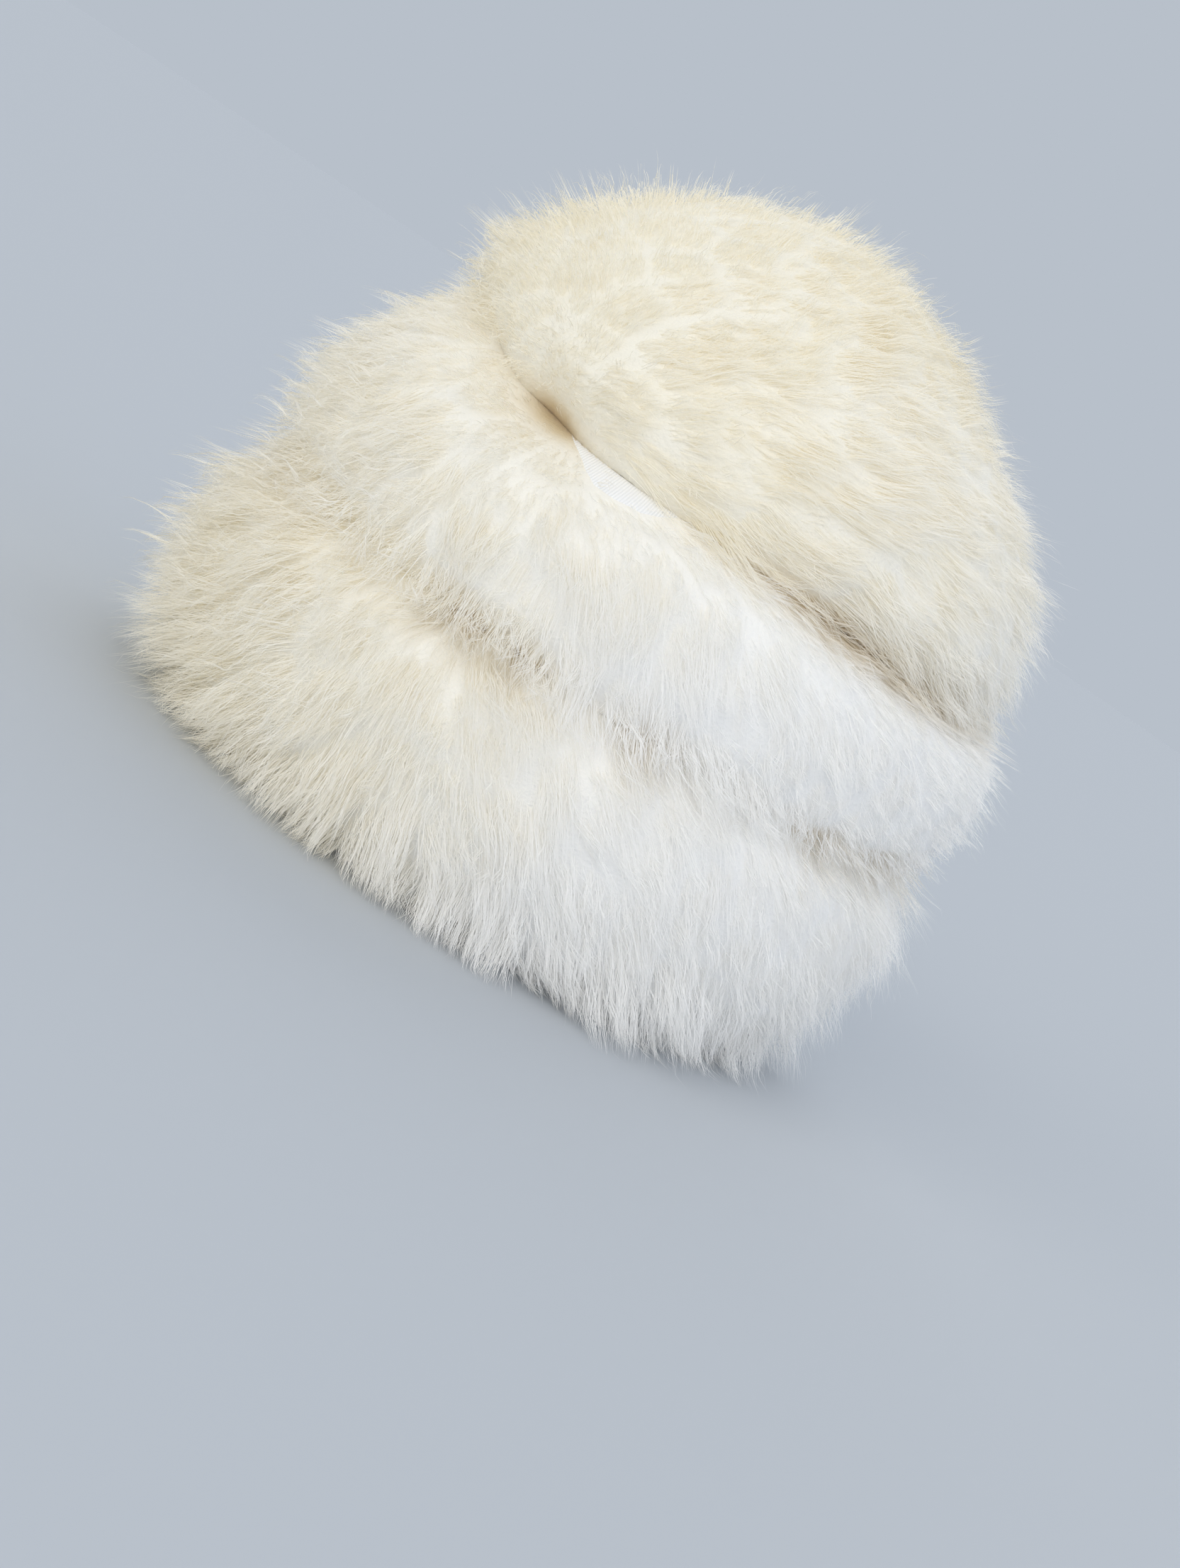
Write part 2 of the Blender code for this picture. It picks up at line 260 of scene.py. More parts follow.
def ring_object(name, rings, closed=False):
    """An object made of quads between rings, with its poles merged."""
    rows, around = rings.shape[:2]
    mesh = bpy.data.meshes.new(name)
    quads = ring_quads(rows, around, closed)
    mesh.from_pydata(rings.reshape(-1, 3).tolist(), [], quads.tolist())
    work = bmesh.new()
    work.from_mesh(mesh)
    bmesh.ops.remove_doubles(work, verts=work.verts, dist=WELD)
    bmesh.ops.recalc_face_normals(work, faces=work.faces)
    work.to_mesh(mesh)
    work.free()
    mesh.shade_smooth()
    return shown_object(name, mesh)


# %% [markdown]
# ## Colours and nodes
#
# Colours are written as the sRGB hex values that a paint or web tool would show, and one function
# turns them to the linear values that the renderer adds up. One more function adds a node to any
# tree: it sets the node's own settings, and gives each input a number, a colour or a link. The two
# kinds of node that do sums are needed most, so they have short names.

# %% One function for colours and one for nodes
def linear(hex_colour):
    """The linear RGBA of an sRGB colour written as #RRGGBB."""
    parts = [int(hex_colour[at : at + 2], 16) / 255 for at in (1, 3, 5)]
    parts = [((c + 0.055) / 1.055) ** 2.4 if c > 0.04045 else c / 12.92 for c in parts]
    return (*parts, 1.0)


MATH, VECTOR_MATH = "ShaderNodeMath", "ShaderNodeVectorMath"


def result(node):
    """The first output of a node that is in use."""
    return next(socket for socket in node.outputs if socket.enabled)


def add(tree, kind, inputs=(), operation=None, **settings):
    """Adds a node. Its inputs are a row, or go by name or number, and take values or nodes."""
    node = tree.nodes.new(kind)
    if operation:
        node.operation = operation
    for name, value in settings.items():
        setattr(node, name, value)
    shown = [socket for socket in node.inputs if socket.enabled]
    named = inputs if isinstance(inputs, dict) else dict(enumerate(inputs))
    for key, value in named.items():
        socket = shown[key] if isinstance(key, int) else next(s for s in shown if s.name == key)
        if isinstance(value, bpy.types.Node):
            value = result(value)
        if isinstance(value, bpy.types.NodeSocket):
            tree.links.new(value, socket)
        else:
            socket.default_value = value
    return node


# %% [markdown]
# ## Under-wool
#
# Close to the skin the fibres are felted together, and no light gets through. Drawing single fibres
# there would be waste, so each roll gets one closed body that fills about seven eighths of the
# pile. It thins in front, where the wool is loose, but for the rim, and towards the seams, which
# makes the grooves. It is a little lumpy, as wool is where locks lie on each other: smooth noise at
# the size of a tuft.
#
# The grooves aren't the same all the way round. The upper one lies open towards the back, and ends
# in a small hollow in front. The lower one is closed by the wool that hangs over it, but for a few
# partings. A table gives the depth at each angle from the back, the same on the left and right.

# %% How deep each groove is, from the back round to the front
UPPER_GROOVE = (
    (0, 0.18), (20, 0.28), (40, 0.32), (62, 0.32), (74, 0.18), (90, 0.12), (104, 0.14), (111, 0.18),
    (117, 0.32), (122, 0.52), (127, 0.52), (133, 0.18), (180, 0.12),
)
LOWER_GROOVE = (
    (0, 0.24), (22, 0.22), (33, 0.15), (40, 0.27), (47, 0.11), (70, 0.07), (76, 0.29), (82, 0.08),
    (94, 0.08), (98, 0.28), (103, 0.14), (110, 0.30), (117, 0.13), (150, 0.14), (180, 0.20),
)
# Grooves shallower than this get none of the painted beige shade.
UNSHADED_DEPTH = 0.13
GROOVE_WIDTH = 0.20
GROOVE_SHARPNESS = 1.5


def read(table, at):
    """The amounts that a table of places and amounts gives at any places."""
    return np.interp(at, *np.array(table).T)


def from_back(angle):
    """The degrees round from the back, from -180 to 180."""
    return np.degrees(np.remainder(angle + math.pi, 2 * math.pi) - math.pi)


def groove_depth(table, angle):
    """How much of the pile is missing at a seam, the same on the left and right."""
    return read(table, np.abs(from_back(angle)))


def groove(roll, angle, rise):
    """How much of the pile is missing at any place on a roll."""
    missing = np.zeros(np.shape(angle))
    for table, below, above in ((LOWER_GROOVE, LOWER, MIDDLE), (UPPER_GROOVE, MIDDLE, CROWN)):
        if roll in (below, above):
            seam = 1.0 if roll is below else 0.0
            near = np.maximum(0.0, 1.0 - np.abs(rise - seam) / GROOVE_WIDTH)
            missing += groove_depth(table, angle) * near**GROOVE_SHARPNESS
    return missing


# %% How full the under-wool is
UNDERWOOL_SHARE = 0.88
FRONT_THINNER = 0.17
RIM_BAND = 0.3
LUMP_HEIGHT = 1.6 * MM
LUMP_SIZE = 18 * MM
FRONT_FROM = 0.06
BACK_FROM = 0.05
END_BAND = 0.08


def frontness(point):
    """0 at the sides and behind, and 1 right in front, where the wool is looser."""
    return np.clip((-point[..., 0] - FRONT_FROM) / END_BAND, 0.0, 1.0)


def backness(point):
    """0 at the sides and in front, and 1 right behind."""
    return np.clip((point[..., 0] - BACK_FROM) / END_BAND, 0.0, 1.0)


def underwool_share(roll, angle, rise):
    """The share that is felted: less beside a seam and in front, full at the rim, and lumpy."""
    tips = roll.tip(angle, rise)
    loosened = FRONT_THINNER * frontness(tips)
    if roll is LOWER:
        loosened *= np.clip(rise / RIM_BAND, 0.0, 1.0)
    share = UNDERWOOL_SHARE - groove(roll, angle, rise) - loosened
    pile = np.linalg.norm(tips - roll.root(angle, rise), axis=-1)
    lumps = [noise.noise(Vector(tip) / LUMP_SIZE) for tip in tips.reshape(-1, 3)]
    return share + LUMP_HEIGHT * np.reshape(lumps, angle.shape) / pile


# %% The three bodies of under-wool
OUTER_ROWS = 44
INNER_ROWS = 8
# Painted shade: how strongly, and how far above and below each seam, the wool deep in the grooves is
# painted beige.
UPPER_GROOVE_SHADE = 4.0
LOWER_GROOVE_SHADE = 5.0
GROOVE_SHADE_WIDTH = 4 * MM
SKIN_GAP = 0.4 * MM
SEAM_GAP = 0.05 * MM


def outward(roll, angle, rise, distance):
    """Points a small distance off the skin, along the hairs."""
    root = roll.root(angle, rise)
    hair = roll.tip(angle, rise) - root
    return root + distance * hair / np.linalg.norm(hair, axis=-1, keepdims=True)


def painted_groove_shade(points):
    """How much painted shade turns the wool beige at each point, from 0 to 1: deep in the seam
    grooves.
    """
    angle = np.arctan2(points[..., 1], points[..., 0])
    tint = np.zeros(angle.shape)
    for height, table, reach in (
        (upper_seam(angle), UPPER_GROOVE, UPPER_GROOVE_SHADE),
        (lower_seam, LOWER_GROOVE, LOWER_GROOVE_SHADE),
    ):
        near = np.exp(-(((points[..., 2] - height) / GROOVE_SHADE_WIDTH) ** 2))
        tint += near * reach * np.maximum(0.0, groove_depth(table, angle) - UNSHADED_DEPTH)
    return np.clip(tint, 0.0, 1.0)


def mark(mesh, name, values, kind="FLOAT", field="value"):
    """Writes a number, or one of another kind, on each point of a mesh."""
    marks = mesh.attributes.new(name, kind, "POINT")
    marks.data.foreach_set(field, np.float32(values).ravel())


def with_painted_groove_shade(made):
    """Writes the painted groove shade on an object's points, for its finish to read."""
    points = np.empty(3 * len(made.data.vertices))
    made.data.vertices.foreach_get("co", points)
    mark(made.data, "tint", painted_groove_shade(points.reshape(-1, 3)))
    return made


def underwool(roll):
    """One closed body of felted wool round the skin."""
    spread = np.linspace(0.0, 1.0, OUTER_ROWS)
    rises = np.sin(math.pi / 2 * spread) if roll.domed else spread
    angle, rise = ring_grid(rises)
    outer = roll.at(angle, rise, underwool_share(roll, angle, rise))
    inner_rises = rises[:: OUTER_ROWS // INNER_ROWS]
    inner_rises = np.append(inner_rises[inner_rises < 1.0], 1.0)[::-1]
    inner = outward(roll, *ring_grid(inner_rises), SKIN_GAP)
    rings = np.concatenate([inner, outer])
    angles = np.arange(AROUND) * 2 * math.pi / AROUND
    low = roll.low(angles) + (0.0 if roll is LOWER else SEAM_GAP)
    high = roll.high(angles) - (0.0 if roll.domed else SEAM_GAP)
    rings[..., 2] = np.clip(rings[..., 2], low, high)
    made = ring_object(f"{roll.name}_underwool", rings, closed=not roll.domed)
    return with_painted_groove_shade(made)


bodies = {roll.name: underwool(roll) for roll in ROLLS}
for name, body in bodies.items():
    print(name, "under-wool:", len(body.data.polygons), "faces")

# %% [markdown]
# ## How the wool is combed
#
# A fibre leaves the skin straight out and then bends over, the way the wool was combed and hangs.
# On the two bands it falls towards the rim, and fans out: a little forwards in front, and a little
# backwards along the sides. On the crown it fans out from one place low on each side, as hair does
# from a cowlick. At the rim the floor turns the tips outwards, and they lie on it.
#
# Each root gets two arrows: *reach*, from the root straight out to the outline, and *comb*, from
# there to where the tip lands. The landing place is looked up on the outline of the whole hat, so a
# combed tip stays on the surface of the wool and does not stick out where the hat curves away.

# %% The outline as a surface to land on
def outline_surface():
    """The whole hat's outline, for finding the nearest point on it."""
    points, quads = [], []
    for roll in ROLLS:
        angle, rise = ring_grid(np.linspace(0.0, 1.0, OUTER_ROWS))
        quads.append(ring_quads(OUTER_ROWS, AROUND) + len(points) * OUTER_ROWS * AROUND)
        points.append(roll.tip(angle, rise).reshape(-1, 3))
    return BVHTree.FromPolygons(np.concatenate(points).tolist(), np.concatenate(quads).tolist())


outline = outline_surface()

# %% Which way each roll is combed
LOWER_COMB = 18 * MM
MIDDLE_COMB = 16 * MM
SWEEP_AT = (-0.14, -0.08, -0.01, 0.06, 0.13)
LOWER_SWEEP = (-0.015, -0.004, 0.011, 0.011, 0.0)
MIDDLE_SWEEP = (-0.014, -0.003, 0.009, 0.009, 0.0)
MIDDLE_FALL = ((0.0, 1.0), (0.66, 1.0), (0.88, 0.35), (1.0, -0.3))
FRONT_STANDS, BACK_STANDS = 0.45, 0.55
FLOOR_NEAR = 0.05
RIM_SPREAD = 8 * MM
RIM_UNSWEPT = 0.8
COWLICK = (-0.070, 0.0, 0.165)
COWLICK_SIZE = 25 * MM
CROWN_COMB = ((-0.11, 10 * MM), (0.02, 22 * MM))
CROWN_FALL = 4 * MM
CROWN_END_FALL = 12 * MM
CROWN_HALF_LENGTH = 0.12


def sweep(tip, amounts):
    """Forwards in front and backwards at the sides, as the wool fans out over the temples."""
    along_x = np.interp(tip[..., 0], SWEEP_AT, amounts)
    return along_x[..., None] * (1.0, 0.0, 0.0)


def lower_comb(rise, tip, hair):
    """Down, swept from front to back, and out along the floor where it is near."""
    near_floor = np.clip(1.0 - tip[..., 2:] / FLOOR_NEAR, 0.0, 1.0)
    level = tip * (1.0, 1.0, 0.0)
    level /= np.linalg.norm(level, axis=-1, keepdims=True)
    swept = sweep(tip, LOWER_SWEEP) * (1.0 - RIM_UNSWEPT * near_floor)
    return level * RIM_SPREAD * near_floor + swept + (0.0, 0.0, -LOWER_COMB)


def middle_comb(rise, tip, hair):
    """Down, and swept. The wool beside the upper seam and in front stands up more."""
    fall = read(MIDDLE_FALL, rise)
    fall = fall * (1.0 - FRONT_STANDS * frontness(tip) - BACK_STANDS * backness(tip))
    return fall[..., None] * (0.0, 0.0, -MIDDLE_COMB) + sweep(tip, MIDDLE_SWEEP)


def crown_comb(rise, tip, hair):
    """Away from the cowlick, as seen from the side, a little down, and along the surface."""
    away = (tip - COWLICK) * (1.0, 0.0, 1.0)
    distance = np.linalg.norm(away, axis=-1, keepdims=True)
    away = away / np.maximum(distance, COWLICK_SIZE)
    amount = read(CROWN_COMB, tip[..., 0])
    ends = np.clip(np.abs(tip[..., 0]) / CROWN_HALF_LENGTH, 0.0, 1.0) ** 2
    fall = CROWN_FALL + (CROWN_END_FALL - CROWN_FALL) * ends
    way = amount[..., None] * away + fall[..., None] * (0.0, 0.0, -1.0)
    return way - hair * np.sum(way * hair, axis=-1, keepdims=True)


COMBS = {"lower": lower_comb, "middle": middle_comb, "crown": crown_comb}


# %% How far the wool reaches
FRONT_TRIM = 0.12
NOTCH_TRIM = 0.55
NOTCH_DROP = 12 * MM
NOTCH_WIDTH = 16 * MM
CROWN_BACK_TRIM = 0.1


def shag(roll, angle, tip):
    """How long the locks are: a little less in front, and least in the outline's front notch."""
    above_notch = tip[..., 2] - (upper_seam(angle) - NOTCH_DROP)
    notch = np.exp(-((above_notch / NOTCH_WIDTH) ** 2))
    trim = (FRONT_TRIM + NOTCH_TRIM * notch) * frontness(tip)
    if roll is CROWN:
        trim += CROWN_BACK_TRIM * backness(tip)
    return 1.0 - trim


# %% Shells of roots that carry the two arrows
ROOT_DEPTH = 0.05
ROOT_ROWS = 40
ROOT_AROUND = 120
EDGE = 0.01
FLOOR_CLEAR = 0.6 * MM
FREE_LANDING = 1.5
FRONT_CURL = 1.2
SEAM_CURL = 0.9
SEAM_LOOSE = 0.25
SEAM_THINNING = 20
CURL_WIDTH = 12 * MM


def land(point):
    """The nearest point on the outline."""
    return outline.find_nearest(Vector(point))[0]


def fullness(roll, angle, rise):
    """1 on the fullest part of a roll, and 0 in front and beside the seams."""
    beside_seam = np.clip(SEAM_THINNING * groove(roll, angle, rise), 0.0, 1.0)
    return (1.0 - beside_seam) * (1.0 - frontness(roll.tip(angle, rise)))


def root_shell(roll):
    """A surface just inside the under-wool, with arrows for reach and comb at its points."""
    spread = np.linspace(EDGE, 1.0 - EDGE, ROOT_ROWS)
    rises = np.sin(math.pi / 2 * spread) if roll.domed else spread
    angle, rise = ring_grid(rises, ROOT_AROUND)
    share = underwool_share(roll, angle, rise) - ROOT_DEPTH
    root, tip = roll.at(angle, rise, share), roll.tip(angle, rise)
    hair = (tip - root) / np.linalg.norm(tip - root, axis=-1, keepdims=True)
    wish = tip + COMBS[roll.name](rise, tip, hair)
    landed = np.array([land(point) for point in wish.reshape(-1, 3)]).reshape(wish.shape)
    if roll is LOWER:
        free = np.clip(FREE_LANDING - tip[..., 2:] / FLOOR_NEAR, 0.0, 1.0)
        landed += free * (wish - landed)
    landed[..., 2] = np.maximum(landed[..., 2], FLOOR_CLEAR)
    reach = (tip - root) * shag(roll, angle, tip)[..., None]
    mesh = bpy.data.meshes.new(f"{roll.name}_roots")
    quads = ring_quads(*rise.shape)
    mesh.from_pydata(root.reshape(-1, 3).tolist(), [], quads.tolist())
    by_seam = np.exp(-(((root[..., 2] - lower_seam) / CURL_WIDTH) ** 2))
    thick = thickness(roll, angle, rise)
    mark(mesh, "reach", reach, "FLOAT_VECTOR", "vector")
    mark(mesh, "comb", landed - tip, "FLOAT_VECTOR", "vector")
    mark(mesh, "thick", thick)
    mark(mesh, "loose", thick * np.clip(frontness(tip) + SEAM_LOOSE * by_seam, 0.0, 1.0))
    mark(mesh, "full", thick * fullness(roll, angle, rise))
    # The painted beige shade of the deep seam grooves, for the strands to carry.
    mark(mesh, "tint", painted_groove_shade(root))
    mark(mesh, "curl", 1.0 + FRONT_CURL * frontness(tip) + SEAM_CURL * by_seam)
    return mesh


# %% Where the tape is turned over, and the wool is worn off above it
TAPE_HIDDEN = -5 * MM
TAPE_TURN = 17 * MM
TAPE_TURNED = (
    (-125, 0.0), (-119, 0.42), (-114, 0.70), (-108, 1.0), (-104, 1.0), (-100, 0.85), (-96, 0.55),
    (-91, 0.0),
)
WALL_STEEPNESS = 0.75
TAPE_OVERGROWN = 4 * MM
PARTED = ((-134, 0.0), (-128, 1.7), (-120, 1.7), (-114, 1.0), (-106, 1.0), (-94, 0.0))
PARTED_WIDTH = 7 * MM
PARTED_BELOW = 0.8
VERGE = 3 * MM
RIM_FULLNESS = ((0.0, 1.6), (0.2, 1.0))


def tape_edge(angle):
    """How far out of the seam the tape's edge lies, below 0 where it stays inside."""
    return TAPE_HIDDEN + TAPE_TURN * read(TAPE_TURNED, from_back(angle))


def thickness(roll, angle, rise):
    """1 for plain wool, more at the rim, and down to 0 on the turned tape and in its parting."""
    if roll is LOWER:
        return read(RIM_FULLNESS, rise)
    parted = PARTED_WIDTH * read(PARTED, from_back(angle))
    if roll is MIDDLE:
        way = (1.0 - rise) * (upper_seam(angle) - lower_seam) / WALL_STEEPNESS
        bare = np.maximum(tape_edge(angle) - TAPE_OVERGROWN, PARTED_BELOW * parted - VERGE)
    else:
        way = rise * (HAT_TOP - upper_seam(angle))
        bare = parted - VERGE
    return np.clip((way - bare) / VERGE, 0.0, 1.0)


shells = {roll.name: root_shell(roll) for roll in ROLLS}
print("roots for:", ", ".join(shells))

# %% [markdown]
# ## The woven tape
#
# The seam between the crown and the middle roll is bound with cotton tape, woven with fine ribs
# across it. Most of it lies hidden in the groove. On the wearer's left one stretch has turned over,
# and shows between the rolls.
#
# The tape is a ring with a flat section of one width all round. A path runs from inside the groove
# out over its lower wall, and the section slides along that path: a little way where the tape is
# hidden, and further where it is turned over. Bending a straight strip over the wool with modifiers
# would be harder to keep in the groove. The corners get a map in metres, for the finish to count
# the ribs with.

# %% A path out of the groove, and the tape on it
TAPE_WIDTH = 12 * MM
TAPE_THICKNESS = 0.7 * MM
TAPE_LIFT = 0.5 * MM
TAPE_AROUND = 400
TAPE_ACROSS = 9
TAPE_WAVER = 0.8 * MM
TAPE_WAVES = (23, 9)
TAPE_SINK = 2 * MM
TAPE_SINKS_FROM, TAPE_SINKS_OVER = 0.7, 0.3


def groove_path(angle, way, lift):
    """A point on the groove's lower wall, `way` metres out of the seam or, below 0, inside it."""
    rise = 1.0 - np.maximum(way, 0.0) * WALL_STEEPNESS / (upper_seam(angle) - lower_seam)
    pile = np.linalg.norm(MIDDLE.tip(angle, rise) - MIDDLE.root(angle, rise), axis=-1)
    share = underwool_share(MIDDLE, angle, rise) + (np.minimum(way, 0.0) + lift) / pile
    return MIDDLE.at(angle, rise, share)


def seam_tape():
    """The ring of tape, its outer face and then its inner face."""
    across = np.linspace(0.0, 1.0, TAPE_ACROSS)
    angle, share = ring_grid(np.concatenate([across, across[::-1]]), TAPE_AROUND)
    waver = TAPE_WAVER * np.sin(angle * TAPE_WAVES[0]) * np.sin(angle * TAPE_WAVES[1] + 1)
    way = tape_edge(angle) + waver - TAPE_WIDTH * (1.0 - share)
    sunk = np.repeat([0.0, TAPE_THICKNESS], TAPE_ACROSS)[:, None]
    sunk = sunk + TAPE_SINK * np.maximum(0.0, share - TAPE_SINKS_FROM) / TAPE_SINKS_OVER
    return ring_object("woven_seam_tape", groove_path(angle, way, TAPE_LIFT - sunk), closed=True)


tape = seam_tape()

# %% A map in metres: along the tape and across it
TAPE_RADIUS = 0.112


def map_in_metres(ring, around, heights):
    """Gives each corner its place along the ring and across it."""
    mesh = ring.data
    corners = np.empty(len(mesh.loops), dtype=np.int32)
    mesh.loops.foreach_get("vertex_index", corners)
    quads = corners.reshape(-1, 4)
    column, row = quads % around, quads // around
    wraps = (column == 0) & (column.max(axis=1, keepdims=True) == around - 1)
    along = np.where(wraps, around, column) * 2 * math.pi * TAPE_RADIUS / around
    layer = mesh.uv_layers.new(name="metres")
    places = np.stack([along, heights[row]], axis=-1).astype(np.float32)
    layer.data.foreach_set("uv", places.ravel())


width_rows = np.linspace(0.0, TAPE_WIDTH, TAPE_ACROSS)
map_in_metres(tape, TAPE_AROUND, np.concatenate([width_rows, width_rows[::-1]]))
print("tape:", len(tape.data.polygons), "faces")

# %% [markdown]
# ## A tree that grows wool
#
# Blender can grow hair curves, but the finished hat has to be a plain mesh. So a geometry node tree
# scatters roots over a shell and bends one flat strip of faces from each. A strip of five to
# fifteen triangles is enough, because a strand is about a quarter of a millimetre wide. That is
# some ten times a real fibre: a finer one would not show, and would take far more strands.
#
# Wool is not one strand after another. Fibres stick together in locks 5 to 10 mm wide, and a few
# locks in tufts. Two cell patterns give both: all roots in one cell share a random number for their
# length, their wave and their lean, and their tips are drawn to the middle of the cell.

# %% How much single strands differ from each other
# In shares: of a strand's length, of how far it is combed, of its lock's wave and of its width
OWN_LENGTH = 0.05
STRAY_LONGER = 0.12
OWN_LEAN, LOCK_LEAN, TUFT_LEAN, STRAY_LEAN = 0.10, 0.45, 0.60, 0.50
STANDING_COMB = 0.4
STRAY_GATHER = 0.1
LOCK_SWING = 1.2
OWN_TURN = 0.6
OWN_WIDTH = 0.2
STRAY_WIDTH = 0.5
OWN_FACING = 0.45
OWN_TONE = 0.2

# %% The tree and its named inputs
wool = bpy.data.node_groups.new("wool", "GeometryNodeTree")
WOOL_INPUTS = {
    "Geometry": {"Roots": None},
    "String": {"Sown By": "thick"},
    "Int": {"Seed": 1, "Segments": 6},
    "Float": {
        "Strands": 1000.0, "Lock Size": 6 * MM, "Lock Gather": 0.75, "Tuft Size": 18 * MM,
        "Tuft Gather": 0.25, "Shortest": 0.95, "Longest": 1.1, "Wave Height": 2 * MM, "Waves": 1.0,
        "Width": 0.25 * MM, "Stray Share": 0.03, "Standing Share": 0.0, "Standing Length": 0.6,
        "Tone Shift": 0.0,
    },
    "Material": {"Finish": None},
}
for kind, sockets in WOOL_INPUTS.items():
    for name, value in sockets.items():
        socket = wool.interface.new_socket(name, in_out="INPUT", socket_type=f"NodeSocket{kind}")
        if value is not None:
            socket.default_value = value
wool.interface.new_socket("Wool", in_out="OUTPUT", socket_type="NodeSocketGeometry")
given = add(wool, "NodeGroupInput").outputs
print("the wool tree takes", sum(map(len, WOOL_INPUTS.values())), "inputs")

# %% Scatter the roots and read their arrows
sown = add(wool, "GeometryNodeInputNamedAttribute", {"Name": given["Sown By"]}, data_type="FLOAT")
density = add(wool, MATH, (given["Strands"], sown), "MULTIPLY")
scattered = add(
    wool,
    "GeometryNodeDistributePointsOnFaces",
    {"Mesh": given["Roots"], "Density": density, "Seed": given["Seed"]},
)
place = add(wool, "GeometryNodeInputPosition")
# Besides the arrows and the curl, each root reads the painted beige shade of the deep seam grooves.
reach, comb, tint, curl = (
    add(wool, "GeometryNodeInputNamedAttribute", {"Name": name}, data_type=kind)
    for name, kind in (
        ("reach", "FLOAT_VECTOR"), ("comb", "FLOAT_VECTOR"), ("tint", "FLOAT"), ("curl", "FLOAT"),
    )
)
own = add(
    wool,
    "FunctionNodeRandomValue",
    {"Min": (-1.0, -1.0, -1.0), "Max": (1.0, 1.0, 1.0), "Seed": given["Seed"]},
    data_type="FLOAT_VECTOR",
)
luck = add(wool, "FunctionNodeRandomValue", {"Seed": given["Seed"]}, data_type="FLOAT")
stray = add(wool, MATH, (luck, given["Stray Share"]), "LESS_THAN")

# %% Locks and tufts: shared chance, and a pull towards the middle
chance, gather = {}, {}
for level in ("Lock", "Tuft"):
    scale = add(wool, MATH, (1.0, given[f"{level} Size"]), "DIVIDE")
    cell = add(wool, "ShaderNodeTexVoronoi", {"Vector": place, "Scale": scale})
    chance[level] = add(wool, VECTOR_MATH, (cell.outputs["Color"], (0.5, 0.5, 0.5)), "SUBTRACT")
    middle = cell.outputs["Position"]
    towards = add(wool, VECTOR_MATH, (middle, place), "SUBTRACT")
    inwards = add(wool, VECTOR_MATH, (towards, reach), "PROJECT")
    beside = add(wool, VECTOR_MATH, (towards, inwards), "SUBTRACT")
    gather[level] = add(wool, VECTOR_MATH, {0: beside, "Scale": given[f"{level} Gather"]}, "SCALE")
lock_chance = add(wool, "ShaderNodeSeparateXYZ", (chance["Lock"],)).outputs
own_chance = add(wool, "ShaderNodeSeparateXYZ", (own,)).outputs
drawn = add(wool, MATH, (lock_chance["Y"], 0.5), "ADD")
standing = add(wool, MATH, (drawn, given["Standing Share"]), "LESS_THAN")

# %% Each strand's length, lean and pull
length = add(
    wool, "ShaderNodeMapRange", (lock_chance["X"], -0.5, 0.5, given["Shortest"], given["Longest"])
)
for longer, amount in (
    (own_chance["X"], OWN_LENGTH),
    (stray, STRAY_LONGER),
    (standing, given["Standing Length"]),
):
    length = add(wool, MATH, (longer, amount, length), "MULTIPLY_ADD")
reach_own = add(wool, VECTOR_MATH, {0: reach, "Scale": length}, "SCALE")

comb_length = add(wool, VECTOR_MATH, (comb,), "LENGTH")
lean = add(wool, VECTOR_MATH, {0: own, "Scale": OWN_LEAN}, "SCALE")
wild = add(wool, VECTOR_MATH, {0: own, "Scale": stray}, "SCALE")
for way, amount in ((chance["Lock"], LOCK_LEAN), (chance["Tuft"], TUFT_LEAN), (wild, STRAY_LEAN)):
    lean = add(wool, VECTOR_MATH, (way, (amount,) * 3, lean), "MULTIPLY_ADD")
comb_own = add(wool, VECTOR_MATH, (lean, comb_length.outputs["Value"], comb), "MULTIPLY_ADD")
flatness = add(wool, MATH, (standing, STANDING_COMB - 1.0, 1.0), "MULTIPLY_ADD")
comb_own = add(wool, VECTOR_MATH, {0: comb_own, "Scale": flatness}, "SCALE")
pull = add(wool, VECTOR_MATH, (gather["Lock"], gather["Tuft"]), "ADD")
loose = add(wool, MATH, (stray, STRAY_GATHER - 1.0, 1.0), "MULTIPLY_ADD")
pull = add(wool, VECTOR_MATH, {0: pull, "Scale": loose}, "SCALE")

# %% Each lock's wave, and each strand's width
sideways = add(wool, VECTOR_MATH, (reach, comb), "CROSS_PRODUCT")
sideways = add(wool, VECTOR_MATH, (sideways,), "NORMALIZE")
outwards = add(wool, VECTOR_MATH, (reach,), "NORMALIZE")
swing = add(wool, MATH, (lock_chance["Z"], LOCK_SWING, 1.0), "MULTIPLY_ADD")
for factor in (given["Wave Height"], curl):
    swing = add(wool, MATH, (swing, factor), "MULTIPLY")
start_turn = add(wool, MATH, (lock_chance["Y"], 2 * math.pi), "MULTIPLY")
start_turn = add(wool, MATH, (own_chance["Z"], OWN_TURN, start_turn), "MULTIPLY_ADD")
width = add(wool, MATH, (own_chance["Y"], OWN_WIDTH, 1.0), "MULTIPLY_ADD")
width = add(wool, MATH, (stray, -STRAY_WIDTH, width), "MULTIPLY_ADD")
width = add(wool, MATH, (width, given["Width"]), "MULTIPLY")
facing = add(wool, VECTOR_MATH, (own, (OWN_FACING,) * 3, outwards), "MULTIPLY_ADD")
tone = add(wool, MATH, (own_chance["X"], OWN_TONE, lock_chance["X"]), "MULTIPLY_ADD")
tone = add(wool, MATH, (tone, given["Tone Shift"]), "ADD")

